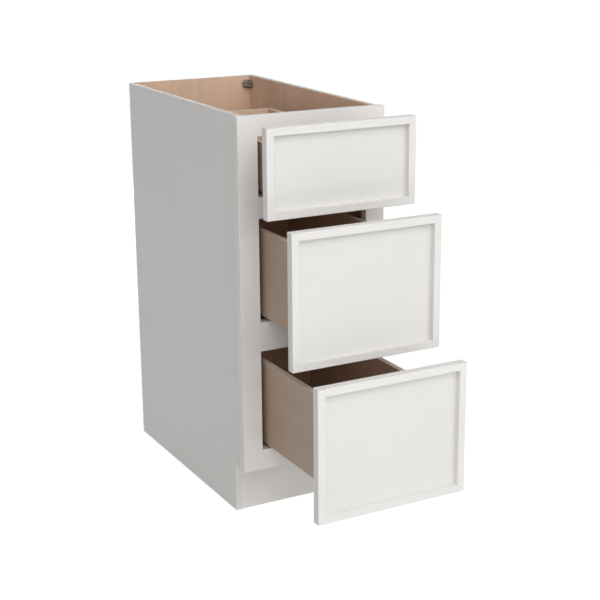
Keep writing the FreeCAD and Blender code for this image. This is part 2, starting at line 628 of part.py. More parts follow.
def main():
    os.makedirs("parts", exist_ok=True)
    brackets, worktop_screws = corner_brackets()
    rail_screws = []
    for name, (sill, *_) in DRAWERS.items():
        right = slide_screws(sill)
        rail_screws += pair(right[0]) + pair(right[1])
        save(name + "_slide_rails", [drilled(rail, right + [mirrored(s) for s in right])
                                     for rail in pair(fixed_member(sill))])
    save("slide_rear_brackets", [bracket for sill, *_ in DRAWERS.values()
                                 for bracket in pair(rear_bracket(sill, slide_screws(sill)))])
    save("slide_screws", rail_screws)
    save("corner_brackets", brackets)
    save("corner_bracket_screws", worktop_screws)
    screws = worktop_screws + rail_screws
    carcass(screws)
    face_frame(screws)
    for name, sizes in DRAWERS.items():
        drawer(name, *sizes)


main()
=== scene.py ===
"""Finish, light and camera of a framed base cabinet with three drawers, built round its frame.

Every board, sheet and screw of the frame gets a finished piece: a merged copy with rounded edges,
or a surface worked out here. Lengths are metres, +Z is up, the drawers open towards -Y.
"""
import json
import math

import bmesh
import bpy
import numpy as np
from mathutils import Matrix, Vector


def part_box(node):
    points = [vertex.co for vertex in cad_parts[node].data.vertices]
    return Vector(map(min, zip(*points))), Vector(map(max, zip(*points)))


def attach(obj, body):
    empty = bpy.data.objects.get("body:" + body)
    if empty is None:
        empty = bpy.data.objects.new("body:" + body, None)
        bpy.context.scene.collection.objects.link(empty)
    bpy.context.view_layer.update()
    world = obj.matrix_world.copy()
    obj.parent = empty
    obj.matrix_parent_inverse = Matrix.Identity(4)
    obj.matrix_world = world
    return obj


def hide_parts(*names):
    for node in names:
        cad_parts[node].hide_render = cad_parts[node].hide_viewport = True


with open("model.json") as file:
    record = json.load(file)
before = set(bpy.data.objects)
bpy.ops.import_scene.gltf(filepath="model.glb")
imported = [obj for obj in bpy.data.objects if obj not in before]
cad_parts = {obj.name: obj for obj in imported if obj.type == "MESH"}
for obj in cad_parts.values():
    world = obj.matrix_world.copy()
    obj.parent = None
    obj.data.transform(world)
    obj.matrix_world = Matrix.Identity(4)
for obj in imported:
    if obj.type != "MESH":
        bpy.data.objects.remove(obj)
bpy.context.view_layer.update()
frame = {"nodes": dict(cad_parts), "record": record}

bl_info = {
    "name": "Framed Drawer Base Cabinet",
    "version": (1, 0, 0),
    "blender": (4, 5, 0),
    "location": "View3D > Sidebar > Cabinet",
    "description": "Dresses the packed frame of a framed base cabinet with three drawers",
    "category": "Object",
}

MM = 0.001
DRAWERS = ("top_drawer", "middle_drawer", "bottom_drawer")
BODY_OF = {node: body for body, nodes in frame["record"]["behaviour"]["bodies"].items()
           for node in nodes}

WELD = 1e-6                      # corners nearer than this are one corner
FLAT = math.radians(0.4)         # faces that meet at less than this are one face
CORNER = math.radians(30)        # edges sharper than this are rounded or kept sharp
SKIN = 0.35 * MM                 # depth of the finish on a panel's faces
BAND_MARGIN = 1 * MM             # how far the toe notch's paint runs past its edges
FRONT_MEMBER = 16 * MM           # width of the stiles and rails of a drawer front
JOINT_REACH = 0.1 * MM           # how near a joint's line an edge of that joint lies
INWARD = -0.02                   # metres from the middle times facing: below it, faces look inward
THREAD_PITCH = 1.4 * MM
END_DEPTH = 0.01 * MM            # corners this near a solid's end belong to it
NARROWEST_END = 0.1 * MM         # a solid's end narrower than this is an edge, not a face
HEAD_REACH = 0.35                # of a screw head's width: only the head is this far from the axis
FLOOR_REACH = 20.0               # from the middle to the floor's edge
LIT_FLOOR = 0.28                 # brightness that the lit share of the floor brings by itself

# soft boxes: place, width and height in metres, and watts
SOFT_BOXES = {
    "high front box": ((-0.3, -3.2, 2.6), 4.0, 2.0, 41.0),
    "top front box": ((-0.3, -2.4, 3.4), 3.0, 1.5, 14.0),
    "low front box": ((0.1, -2.0, 0.12), 2.0, 0.2, 1.5),
    "rear box": ((0.6, 3.2, 0.9), 1.6, 1.6, 36.0),
}

# places read from the frame
SIDE_LOW, SIDE_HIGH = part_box("side_panel_right")
BACK_LOW, BACK_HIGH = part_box("back_panel")
TOE_LOW, TOE_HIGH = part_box("toe_board")
STILE_LOW, STILE_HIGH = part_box("frame_stile_right")


# ---------------------------------------------------------------- settings
class CabinetEdges(bpy.types.PropertyGroup):
    """How far the edges of each kind of piece are rounded."""
    painted: bpy.props.FloatProperty(
        name="Painted edges", description="Rounding of the sprayed boards' edges",
        default=0.7 * MM, unit="LENGTH")
    joint: bpy.props.FloatProperty(
        name="Painted joints", description="Rounding where painted members meet, a fine line",
        default=0.25 * MM, unit="LENGTH")
    wood: bpy.props.FloatProperty(
        name="Clear wood edges", description="Rounding of the clear-finished boards' edges",
        default=0.9 * MM, unit="LENGTH")
    plywood: bpy.props.FloatProperty(
        name="Plywood edges", description="Rounding of the panels' cut edges",
        default=0.3 * MM, unit="LENGTH")
    sheet: bpy.props.FloatProperty(
        name="Sheet steel edges", description="Rounding of the rolled slide members",
        default=0.45 * MM, unit="LENGTH")
    moulded: bpy.props.FloatProperty(
        name="Moulded edges", description="Rounding of the plastic brackets and clips",
        default=0.6 * MM, unit="LENGTH")


class CabinetColours(bpy.types.PropertyGroup):
    """Base colours, as linear values."""
    paint: bpy.props.FloatVectorProperty(
        name="Paint", description="Satin white of the sides and the fronts' stiles and rails",
        default=(0.815, 0.800, 0.775), subtype="COLOR", size=3)
    # the frame and toe board take a lighter copy of the paint: painted light, standing in for the
    # light that falls on the frame above the open drawers
    frame_paint: bpy.props.FloatVectorProperty(
        name="Frame paint", description="Satin white of the frame and toe board, a shade lighter",
        default=(0.86, 0.845, 0.82), subtype="COLOR", size=3)
    # the recessed panels take a darker copy of the paint: painted shade of the recess
    panel_paint: bpy.props.FloatVectorProperty(
        name="Panel paint", description="Satin white of the fronts' sheet panels, a shade deeper",
        default=(0.785, 0.772, 0.748), subtype="COLOR", size=3)
    veneer: bpy.props.FloatVectorProperty(
        name="Veneer", description="Clear-finished inside faces of the panels",
        default=(0.75, 0.53, 0.39), subtype="COLOR", size=3)
    # the drawer sides' outer faces are a darker copy of the drawer wood: painted shade under the
    # fronts' overhang; box_inner is the same wood unshaded
    box_wood: bpy.props.FloatVectorProperty(
        name="Drawer wood", description="Outer faces of the drawer boxes' sides",
        default=(0.445, 0.328, 0.244), subtype="COLOR", size=3)
    box_inner: bpy.props.FloatVectorProperty(
        name="Drawer insides", description="Inner faces of the drawer boxes",
        default=(0.64, 0.475, 0.368), subtype="COLOR", size=3)
    # the drawer boxes' upward-facing faces take this lighter colour: painted light from above
    box_edge: bpy.props.FloatVectorProperty(
        name="Drawer edges", description="Top edges of the drawer boxes, painted lighter as light from above",
        default=(0.73, 0.595, 0.485), subtype="COLOR", size=3)
    raw_ply: bpy.props.FloatVectorProperty(
        name="Raw plywood", description="Unfinished back and cut edges",
        default=(0.92, 0.84, 0.75), subtype="COLOR", size=3)
    bracket: bpy.props.FloatVectorProperty(
        name="Bracket plastic", description="Moulded corner and slide brackets",
        default=(0.30, 0.225, 0.195), subtype="COLOR", size=3)
    clip: bpy.props.FloatVectorProperty(
        name="Clip plastic", description="Moulded locking clips",
        default=(0.10, 0.105, 0.115), subtype="COLOR", size=3)
    zinc: bpy.props.FloatVectorProperty(
        name="Zinc", description="Plated slides and screws",
        default=(0.62, 0.63, 0.64), subtype="COLOR", size=3)
    screw: bpy.props.FloatVectorProperty(
        name="Screw steel", description="Dull passivated screws",
        default=(0.36, 0.33, 0.29), subtype="COLOR", size=3)
    pad: bpy.props.FloatVectorProperty(
        name="Bumper pads", description="Soft pads behind the fronts",
        default=(0.72, 0.72, 0.70), subtype="COLOR", size=3)


class CabinetStage(bpy.types.PropertyGroup):
    """Camera and light, fitted to the photograph's view."""
    eye: bpy.props.FloatVectorProperty(
        name="Camera place", description="Where the camera stands",
        default=(-1.34695, -3.1042, 1.2955), subtype="TRANSLATION", size=3)
    turn: bpy.props.FloatProperty(
        name="Camera turn", description="Turn to the right of straight ahead",
        default=math.radians(29.62), subtype="ANGLE")
    tilt: bpy.props.FloatProperty(
        name="Camera tilt", description="Downward tilt",
        default=math.radians(16.15), subtype="ANGLE")
    lens: bpy.props.FloatProperty(
        name="Lens", description="Focal length in millimetres on a 36 mm sensor", default=83.4)
    shift: bpy.props.FloatProperty(
        name="Shift", description="Sideways shift of the lens, in widths of the picture",
        default=-0.072)
    light: bpy.props.FloatProperty(
        name="Light", description="Factor on the power of every soft box", default=1.0)
    ambient: bpy.props.FloatProperty(
        name="Ambient", description="Strength of the even light from all round", default=0.12)
    frontal: bpy.props.FloatProperty(
        name="Frontal", description="Strength of the room's light from straight ahead", default=1.05)
    floor_grey: bpy.props.FloatProperty(
        name="Floor", description="Reflectance of the pale floor", default=0.88)
    shadow_share: bpy.props.FloatProperty(
        name="Shadow", description="How much of the floor's look is lit, and so takes the shadow",
        default=0.16)


# ---------------------------------------------------------------- shader maths
class Value:
    """A socket of a node tree that takes part in Python arithmetic: an operator adds a node."""

    def __init__(self, graph, socket):
        self.graph = graph
        self.socket = socket

    def _maths(self, operation, first, second=0.0):
        return self.graph.node("ShaderNodeMath", {"operation": operation}, {0: first, 1: second})

    def __add__(self, other):
        return self._maths("ADD", self, other)

    def __sub__(self, other):
        return self._maths("SUBTRACT", self, other)

    def __rsub__(self, other):
        return self._maths("SUBTRACT", other, self)

    def __mul__(self, other):
        return self._maths("MULTIPLY", self, other)

    def __mod__(self, other):
        return self._maths("FLOORED_MODULO", self, other)

    def __gt__(self, other):
        return self._maths("GREATER_THAN", self, other)

    def __lt__(self, other):
        return self._maths("LESS_THAN", self, other)

    def __abs__(self):
        return self._maths("ABSOLUTE", self)

    __radd__ = __add__
    __rmul__ = __mul__

    def sine(self):
        return self._maths("SINE", self)

    def over(self, other):
        """The larger of the two."""
        return self._maths("MAXIMUM", self, other)

    def ramp(self, low, high):
        """0 below low, 1 above high and smooth between."""
        return self.graph.node(
            "ShaderNodeMapRange", {"interpolation_type": "SMOOTHSTEP"},
            {"Value": self, "From Min": low, "From Max": high})


class Graph:
    """The node tree of one material or of the world."""

    def __init__(self, owner):
        owner.use_nodes = True
        self.owner = owner
        self.tree = owner.node_tree
        self.tree.nodes.clear()

    def node(self, kind, settings=(), inputs=(), output=0):
        """One node: its settings first, then a value or a link for each named socket."""
        made = self.tree.nodes.new(kind)
        for key, value in dict(settings).items():
            setattr(made, key, value)
        for key, value in dict(inputs).items():
            if isinstance(value, Value):
                self.tree.links.new(value.socket, made.inputs[key])
            else:
                made.inputs[key].default_value = value
        return Value(self, made.outputs[output])

    def parts(self, whole):
        """The three parts of a vector."""
        split = self.tree.nodes.new("ShaderNodeSeparateXYZ")
        self.tree.links.new(whole.socket, split.inputs[0])
        return [Value(self, out) for out in split.outputs]

    def place(self):
        """The Object coordinates, in metres."""
        return self.node("ShaderNodeTexCoord", output="Object")

    def facing(self):
        """The parts of the surface's own normal."""
        return self.parts(self.node("ShaderNodeTexCoord", output="Normal"))

    def stretched(self, place, scale, shift=(0, 0, 0)):
        """A place scaled by its own amount along each axis."""
        return self.node("ShaderNodeMapping", inputs={"Vector": place, "Scale": scale,
                                                      "Location": shift})

    def noise(self, place, scale, detail=3.0, roughness=0.55, distortion=0.0):
        return self.node("ShaderNodeTexNoise", {"noise_dimensions": "3D"},
                         {"Vector": place, "Scale": scale, "Detail": detail,
                          "Roughness": roughness, "Distortion": distortion})

    def mix(self, share, first, second):
        """A colour between two colours; the node's sockets share names, so they go by number."""
        return self.node("ShaderNodeMix", {"data_type": "RGBA"},
                         {0: share, 6: self.colour(first), 7: self.colour(second)}, output=2)

    @staticmethod
    def colour(value):
        return value if isinstance(value, Value) else (*value[:3], 1.0)

    def bump(self, height, distance, strength):
        return self.node("ShaderNodeBump", inputs={"Height": height, "Distance": distance,
                                                   "Strength": strength})

    def surface(self, inputs):
        """The principled surface and the output."""
        shader = self.node("ShaderNodeBsdfPrincipled", inputs=inputs)
        self.node_output("ShaderNodeOutputMaterial", shader)
        return self.owner

    def node_output(self, kind, shader):
        made = self.tree.nodes.new(kind)
        self.tree.links.new(shader.socket, made.inputs["Surface"])


def scaled(colour, factor):
    """A colour times a number."""
    return tuple(part * factor for part in colour)


def tinted(colour, tint):
    """A colour times a colour."""
    if isinstance(colour, Value):
        return colour.graph.node("ShaderNodeMix", {"data_type": "RGBA", "blend_type": "MULTIPLY"},
                                 {0: 1.0, 6: colour, 7: (*tint, 1.0)}, output=2)
    return tuple(a * b for a, b in zip(colour, tint))


# ---------------------------------------------------------------- materials
def along(grain, fine, coarse):
    """A scale that is coarse along the grain's axis and fine across it."""
    return tuple(coarse if axis == grain else fine for axis in range(3))


def paint_parts(graph, place, colour):
    """Colour, roughness and normal of a sprayed satin lacquer: soft cloud, orange peel, dust."""
    cloud = graph.noise(place, 7.0, 2.0)
    peel = graph.noise(place, 620.0, 2.0, 0.5)
    dust = graph.noise(place, 2600.0, 1.0, 0.5)
    base = graph.mix(cloud.ramp(0.3, 0.7), scaled(colour, 0.985), colour)
    roughness = 0.36 + 0.07 * graph.noise(place, 55.0, 3.0) + 0.04 * dust
    return base, roughness, graph.bump(peel, 0.05 * MM, 0.35)


def wood_parts(graph, place, facing, grain, colour, shift=(0, 0, 0)):
    """Colour, roughness and normal of clear-finished maple.

    Broad growth bands are a sine of a stretched noise, fibres and flecks are noises stretched
    further along the grain. The cut end of the grain is darker and finely speckled.
    """
    broad = graph.noise(graph.stretched(place, along(grain, 9.0, 0.9), shift), 1.0, 3.0, 0.5, 0.6)
    bands = (broad * 46.0).sine() * 0.5 + 0.5
    tone = graph.noise(graph.stretched(place, along(grain, 5.0, 1.1), shift), 1.0, 2.0)
    fibre = graph.noise(graph.stretched(place, along(grain, 520.0, 9.0), shift), 1.0, 4.0, 0.62)
    fleck = graph.noise(graph.stretched(place, along(grain, 900.0, 95.0), shift), 1.0, 2.0)
    flecks = fleck.ramp(0.63, 0.74)
    end = abs(facing[grain]).ramp(0.6, 0.95)

    light = graph.mix(tone.ramp(0.3, 0.7), tinted(colour, (0.91, 0.88, 0.85)),
                      tinted(colour, (1.1, 1.12, 1.14)))
    banded = graph.mix(bands * 0.2, light, tinted(colour, (0.86, 0.80, 0.74)))
    fibred = graph.mix(fibre.ramp(0.42, 0.78) * 0.34, banded, tinted(colour, (0.80, 0.73, 0.66)))
    flecked = graph.mix(flecks * 0.3, fibred, tinted(colour, (0.62, 0.52, 0.44)))
    speckle = graph.noise(place, 1500.0, 3.0, 0.7)
    ended = graph.mix(speckle, tinted(colour, (0.62, 0.55, 0.48)), tinted(colour, (0.84, 0.78, 0.72)))
    base = graph.mix(end, flecked, ended)
    roughness = 0.42 + 0.14 * fibre + 0.18 * end
    relief = fibre * 0.7 + bands * 0.2 + flecks * -0.5
    return base, roughness, graph.bump(relief, 0.05 * MM, 0.4)


def paint_material(name, colour):
    graph = Graph(bpy.data.materials.new(name))
    place = graph.place()
    base, roughness, normal = paint_parts(graph, place, colour)
    return graph.surface({"Base Color": base, "Roughness": roughness, "Normal": normal,
                          "Coat Weight": 0.12, "Coat Roughness": 0.25})


def wood_material(name, grain, colour, lit_top_colour, shift=(0, 0, 0), inner=None):
    """Solid boards whose upward-facing faces are a lighter tone: painted light from above.

    inner is the colour of the faces that look towards the middle of the cabinet, if it differs; the
    outward faces' darker colour is painted shade.
    """
    graph = Graph(bpy.data.materials.new(name))
    place = graph.place()
    parts = graph.parts(place)
    facing = graph.facing()
    # faces that look outward keep the darker colour: painted shade
    if inner is not None:
        colour = graph.mix((facing[0] * parts[0]) < INWARD, colour, inner)
    base, roughness, normal = wood_parts(graph, place, facing, grain, colour, shift)
    # faces that look upward get a lighter colour: painted light from above on the top edges
    painted_light_grain = graph.noise(graph.stretched(place, along(grain, 420.0, 14.0)), 1.0, 3.0)
    edge = graph.mix(painted_light_grain, scaled(lit_top_colour, 0.93), lit_top_colour)
    base = graph.mix(facing[2].ramp(0.35, 0.8), base, edge)
    return graph.surface({"Base Color": base, "Roughness": roughness, "Normal": normal,
                          "Coat Weight": 0.18, "Coat Roughness": 0.3})


def plies(graph, place, part, start, thickness, count, grain, colour):
    """Cut plywood edge: plies of equal thickness, every other one showing end grain."""
    layer = (part - start) * (count / thickness)
    odd = (layer % 2.0) > 1.0
    seam = abs((layer % 1.0) - 0.5).ramp(0.42, 0.5)
    long_grain = graph.noise(graph.stretched(place, along(grain, 700.0, 40.0)), 1.0, 3.0)
    end_grain = graph.noise(place, 1700.0, 3.0, 0.7)
    face = graph.mix(long_grain, tinted(colour, (0.92, 0.90, 0.86)), colour)
    cut = graph.mix(end_grain, tinted(colour, (0.76, 0.70, 0.64)), tinted(colour, (0.92, 0.88, 0.84)))
    return graph.mix(seam * 0.35, graph.mix(odd, face, cut), tinted(colour, (0.55, 0.46, 0.38)))


def panel_material(name, axis, low, high, count, grain, faces, colours, band=None):
    """A plywood panel: a skin on each face, plies between, and a banded edge if asked for.

    axis is the panel's thin axis from low to high, faces names the low and the high skin.
    band is (front, top): the toe notch's cut edges, in front of and under these, are painted.
    """
    graph = Graph(bpy.data.materials.new(name))
    place = graph.place()
    parts = graph.parts(place)
    facing = graph.facing()
    finishes = {
        "paint": lambda: paint_parts(graph, place, colours.paint),
        "frame paint with painted light": lambda: paint_parts(graph, place, colours.frame_paint),
        "veneer": lambda: wood_parts(graph, place, facing, grain, colours.veneer),
        "raw": lambda: wood_parts(graph, place, facing, grain, colours.raw_ply, (3.1, 1.7, 0.6)),
    }
    base = plies(graph, place, parts[axis], low, high - low, count, grain, colours.raw_ply)
    roughness = 0.75
    masks = [(faces[0], parts[axis] < low + SKIN), (faces[1], parts[axis] > high - SKIN)]
    if band is not None:
        front, top = band
        masks.append(("paint", (parts[1] < front) * (parts[2] < top)))
    reliefs = []
    for finish, mask in masks:
        tone, gloss, relief = finishes[finish]()
        base = graph.mix(mask, base, tone)
        roughness = mask * gloss + (1 - mask) * roughness
        reliefs.append(relief)
    # the wood's relief serves the whole panel, as grain shows faintly through paint
    normal = reliefs[0] if faces[0] == "veneer" else reliefs[1]
    return graph.surface({"Base Color": base, "Roughness": roughness, "Normal": normal,
                          "Coat Weight": 0.1, "Coat Roughness": 0.3})


def plastic_material(name, colour, roughness):
    """Moulded plastic: fine spark texture, faint flow clouds."""
    graph = Graph(bpy.data.materials.new(name))
    place = graph.place()
    cloud = graph.noise(place, 60.0, 3.0)
    spark = graph.noise(place, 2400.0, 2.0)
    base = graph.mix(cloud.ramp(0.3, 0.7), scaled(colour, 0.9), scaled(colour, 1.08))
    return graph.surface({"Base Color": base, "Roughness": roughness + 0.12 * spark,
                          "Normal": graph.bump(spark, 0.04 * MM, 0.5)})


def zinc_material(name, colour, drawn):
    """Plated steel: lines drawn along one axis, a faint spangle and dull patches."""
    graph = Graph(bpy.data.materials.new(name))
    place = graph.place()
    lines = graph.noise(graph.stretched(place, along(drawn, 1800.0, 12.0)), 1.0, 3.0)
    spangle = graph.node("ShaderNodeTexVoronoi", inputs={"Vector": place, "Scale": 260.0},
                         output="Color")
    patches = graph.noise(place, 30.0, 4.0)
    worn = graph.mix(patches.ramp(0.35, 0.7), scaled(colour, 0.86), scaled(colour, 1.06))
    grey = graph.node("ShaderNodeRGBToBW", inputs={"Color": spangle})
    base = graph.mix(grey * 0.22, worn, scaled(colour, 0.74))
    roughness = 0.24 + 0.16 * patches + 0.1 * lines + 0.06 * grey
    return graph.surface({"Base Color": base, "Roughness": roughness, "Metallic": 1.0,
                          "Normal": graph.bump(lines, 0.02 * MM, 0.4)})


def pad_material(name, colour):
    """Clear soft pads, a little cloudy."""
    graph = Graph(bpy.data.materials.new(name))
    place = graph.place()
    cloud = graph.noise(place, 400.0, 2.0)
    base = graph.mix(cloud, scaled(colour, 0.92), colour)
    return graph.surface({"Base Color": base, "Roughness": 0.22 + 0.1 * cloud,
                          "Transmission Weight": 0.35, "IOR": 1.49})


# ---------------------------------------------------------------- pieces
def welded(node):
    """A bmesh of a CAD node with its loose triangles joined."""
    mesh = bmesh.new()
    mesh.from_mesh(frame["nodes"][node].data)
    bmesh.ops.remove_doubles(mesh, verts=mesh.verts, dist=WELD)
    return mesh


def finished(name, mesh_data, node, material):
    """Links a new piece, gives it its finish, and lets it stand for a CAD node."""
    piece = bpy.data.objects.new(name, mesh_data)
    bpy.context.scene.collection.objects.link(piece)
    mesh_data.materials.clear()
    mesh_data.materials.append(material)
    mesh_data.polygons.foreach_set("use_smooth", [True] * len(mesh_data.polygons))
    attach(piece, BODY_OF[node])
    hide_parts(node)
    return piece


def softened(node, name, radius, material, shortest=8 * MM, segments=3, joint=None):
    """A copy of a CAD node, its flat regions made whole and its long sharp edges rounded.

    Sharp edges shorter than shortest stay sharp.
    joint is (test, radius): the edges that the test picks get that radius instead.
    """
    mesh = welded(node)
    bmesh.ops.dissolve_limit(mesh, angle_limit=FLAT, verts=mesh.verts, edges=mesh.edges,
                             use_dissolve_boundaries=False)
    weights, corners = [], []
    for edge in mesh.edges:
        corner = len(edge.link_faces) == 2 and edge.calc_face_angle() > CORNER
        weight = 1.0 if corner and edge.calc_length() >= shortest else 0.0
        if weight and joint is not None and joint[0](edge):
            weight = joint[1] / radius
        weights.append(weight)
        corners.append(corner and not weight)
    data = bpy.data.meshes.new(name)
    mesh.to_mesh(data)
    mesh.free()
    data.attributes.new("bevel_weight_edge", "FLOAT", "EDGE").data.foreach_set("value", weights)
    data.attributes.new("sharp_edge", "BOOLEAN", "EDGE").data.foreach_set("value", corners)
    piece = finished(name, data, node, material)
    rounding = piece.modifiers.new("rounding", "BEVEL")
    rounding.width = radius
    rounding.segments = segments
    rounding.limit_method = "WEIGHT"
    rounding.use_clamp_overlap = True
    rounding.miter_outer = "MITER_ARC"
    flatness = piece.modifiers.new("flat faces", "WEIGHTED_NORMAL")
    flatness.keep_sharp = True
    return piece


def joint_line(inner):
    """A test for edges where rails butt against stiles whose inner edges are inner from x = 0."""
    def on_line(edge):
        return all(abs(abs(v.co.x) - inner) < JOINT_REACH for v in edge.verts)
    return on_line


def islands(node):
    """The corner points of each separate solid of a CAD node, as arrays."""
    mesh = welded(node)
    seen, groups = set(), []
    for start in mesh.verts:
        if start in seen:
            continue
        seen.add(start)
        reached, waiting = [], [start]
        while waiting:
            vertex = waiting.pop()
            reached.append(vertex.co[:])
            for edge in vertex.link_edges:
                other = edge.other_vert(vertex)
                if other not in seen:
                    seen.add(other)
                    waiting.append(other)
        groups.append(np.array(reached))
    mesh.free()
    return groups


def turned(rows, columns, function):
    """Vertices and faces of a surface turned about Z, closed by a point at both ends.

    function gives the radius and the height for arrays of the row 0..1 and the turn.
    """
    row = np.linspace(0, 1, rows)[:, None]
    turn = np.linspace(0, 2 * np.pi, columns, endpoint=False)[None, :]
    radius, height = np.broadcast_arrays(*function(row, turn))
    around = np.stack([radius * np.cos(turn), radius * np.sin(turn), height], -1).reshape(-1, 3)
    first = around[:columns].mean(0)
    last = around[-columns:].mean(0)
    points = np.vstack([around, first, last])
    i = np.arange(rows - 1)[:, None] * columns
    j = np.arange(columns)[None, :]
    k = (j + 1) % columns
    quads = np.stack([i + j, i + k, i + columns + k, i + columns + j], -1).reshape(-1, 4)
    bottom = np.stack([np.full(columns, rows * columns), k[0], j[0]], -1)
    base = (rows - 1) * columns
    top = np.stack([np.full(columns, rows * columns + 1), base + j[0], base + k[0]], -1)
    return points, quads.tolist() + bottom.tolist() + top.tolist()


def screw_surface(head_radius, head_height, shank_radius, length):
    """A cross-recessed pan-head screw, its head's underside at height 0 and its tip at length.

    The row runs from the crown's middle over the rim, under the head and down the thread. With u
    the share of the head's radius, the crown's height is -(0.55 + 0.45 sqrt(1 - u^3)) of the
    head's, less the recess where two crossed bars lie over it. The thread's radius is the shank's
    times 1 - 0.26 |2 frac(z / pitch - turn / 2 pi) - 1|, and tapers to the tip.
    """
    tip = 3.2 * shank_radius
    crown_end, rim_end, head_end = 0.42, 0.46, 0.5
    rim_share = 0.55

    def place(row, turn):
        crown = np.clip(row / crown_end, 0, 1)
        rim = np.clip((row - crown_end) / (rim_end - crown_end), 0, 1)
        under = np.clip((row - rim_end) / (head_end - rim_end), 0, 1)
        shank = np.clip((row - head_end) / (1 - head_end), 0, 1)
        reach = head_radius * crown
        bulge = np.sqrt(np.clip(1 - crown ** 3, 0, 1))
        dome = -head_height * (rim_share + (1 - rim_share) * bulge)
        x, y = reach * np.cos(turn), reach * np.sin(turn)
        half = 0.16 * head_radius
        arm = 0.58 * head_radius
        bars = np.minimum(np.abs(x), np.abs(y)) - half
        ends = np.maximum(np.abs(x), np.abs(y)) - arm
        inside = np.clip(-np.maximum(bars, ends) / (0.09 * head_radius), 0, 1)
        height = dome + inside * 0.5 * head_height * (1 - 0.5 * crown)
        height = np.where(row > crown_end, -head_height * rim_share * (1 - rim), height)
        radius = np.where(row > crown_end, head_radius, reach)
        narrowing = head_radius + (shank_radius - head_radius) * under
        radius = np.where(row > rim_end, narrowing, radius)
        height = np.where(row > rim_end, 0.0, height)
        z = shank * length
        saw = np.abs(((z / THREAD_PITCH - turn / (2 * np.pi)) % 1.0) - 0.5) * 2
        taper = np.clip((length - z) / tip, 0.04, 1)
        thread = shank_radius * taper * (1 - 0.26 * saw)
        radius = np.where(row > head_end, thread, radius)
        height = np.where(row > head_end, z, height)
        return radius, height

    return turned(100, 32, place)


def pad_surface(radius, thickness):
    """A domed pad from its glued face at height 0 to its crown, a quarter of a superellipse.

    For an angle from 0 to a quarter turn the radius is its cosine ^ 0.6 and the height its
    sine ^ 0.8, each as a share of the pad's own.
    """

    def place(row, turn):
        angle = row * np.pi / 2
        return (radius * np.cos(angle) ** 0.6 + 0 * turn, thickness * np.sin(angle) ** 0.8)

    return turned(14, 32, place)


def many(name, node, material, copies):
    """One piece that holds a surface at each place: (surface, point, direction) for each copy."""
    all_points, all_faces = [], []
    offset = 0
    for (points, faces), start, direction in copies:
        turn = np.array(Vector((0, 0, 1)).rotation_difference(Vector(direction)).to_matrix())
        all_points.append(points @ turn.T + np.array(start))
        all_faces += [[index + offset for index in face] for face in faces]
        offset += len(points)
    data = bpy.data.meshes.new(name)
    data.from_pydata(np.vstack(all_points).tolist(), [], all_faces)
    data.validate()
    mesh = bmesh.new()
    mesh.from_mesh(data)
    bmesh.ops.recalc_face_normals(mesh, faces=mesh.faces)
    mesh.to_mesh(data)
    mesh.free()
    return finished(name, data, node, material)


def end_widths(points, axis):
    """How wide a solid is at its low and at its high end along an axis."""
    across = [i for i in range(3) if i != axis]
    widths = []
    for value in (points[:, axis].min(), points[:, axis].max()):
        end = points[np.abs(points[:, axis] - value) < END_DEPTH][:, across]
        widths.append(float((end.max(0) - end.min(0)).max()))
    return widths


def screw_places(node):
    """Each screw of a node: the middle of its head's underside, its direction and its sizes.

    A screw lies along the axis whose ends differ most in width, and its head is the wider end.
    """
    places = []
    for points in islands(node):
        low, high = points.min(0), points.max(0)
        widths = [end_widths(points, axis) for axis in range(3)]
        axis = max((i for i in range(3) if min(widths[i]) > NARROWEST_END),
                   key=lambda i: max(widths[i]) / min(widths[i]))
        shank, head = sorted(widths[axis])
        side = 1 if widths[axis][1] == head else -1
        across = 1 if axis == 0 else 0
        middle = (low + high) / 2
        rim = points[np.abs(points[:, across] - middle[across]) > HEAD_REACH * head]
        seat = rim[:, axis].min() if side > 0 else rim[:, axis].max()
        top, tip = (high[axis], low[axis]) if side > 0 else (low[axis], high[axis])
        start = middle.copy()
        start[axis] = seat
        direction = [0.0, 0.0, 0.0]
        direction[axis] = -float(side)
        places.append((start, direction,
                       (head / 2, abs(top - seat), shank / 2, abs(tip - seat))))
    return places


# ---------------------------------------------------------------- operators
def colours():
    return bpy.context.scene.cabinet_colours


def edges():
    return bpy.context.scene.cabinet_edges


class CABINET_OT_carcass(bpy.types.Operator):
    """Sides, back, bottom and toe board: plywood with veneered, painted and cut surfaces"""
    bl_idname = "cabinet.carcass"
    bl_label = "Carcass"

    def execute(self, context):
        radius = edges().plywood
        band = (TOE_LOW.y + BAND_MARGIN, TOE_HIGH.z + BAND_MARGIN)
        outer, inner = SIDE_HIGH.x, SIDE_LOW.x
        right = panel_material("right side panel", 0, inner, outer, 9, 2, ("veneer", "paint"),
                               colours(), band)
        left = panel_material("left side panel", 0, -outer, -inner, 9, 2, ("paint", "veneer"),
                              colours(), band)
        softened("side_panel_right", "side_right", radius, right)
        softened("side_panel_left", "side_left", radius, left)
        back = panel_material("back panel ply", 1, BACK_LOW.y, BACK_HIGH.y, 5, 2,
                              ("veneer", "raw"), colours())
        softened("back_panel", "back", radius, back)
        low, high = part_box("bottom_panel")
        bottom = panel_material("bottom panel ply", 2, low.z, high.z, 9, 1, ("raw", "veneer"),
                                colours())
        softened("bottom_panel", "bottom", radius, bottom)
        # the toe board's front takes the frame's lighter paint: painted light
        toe = panel_material("toe board ply", 1, TOE_LOW.y, TOE_HIGH.y, 9, 0,
                             ("frame paint with painted light", "raw"), colours())
        softened("toe_board", "toe", radius, toe)
        return {"FINISHED"}


class CABINET_OT_face_frame(bpy.types.Operator):
    """Painted stiles and rails of the face frame"""
    bl_idname = "cabinet.face_frame"
    bl_label = "Face frame"

    def execute(self, context):
        # the frame's lighter copy of the paint is painted light
        paint = paint_material("frame paint with painted light", colours().frame_paint)
        joint = (joint_line(STILE_LOW.x), edges().joint)
        for node in ("frame_stile_left", "frame_stile_right", "frame_rail_top",
                     "frame_rail_upper", "frame_rail_lower", "frame_rail_bottom"):
            softened(node, node.replace("frame_", "painted_"), edges().painted, paint, joint=joint)
        return {"FINISHED"}


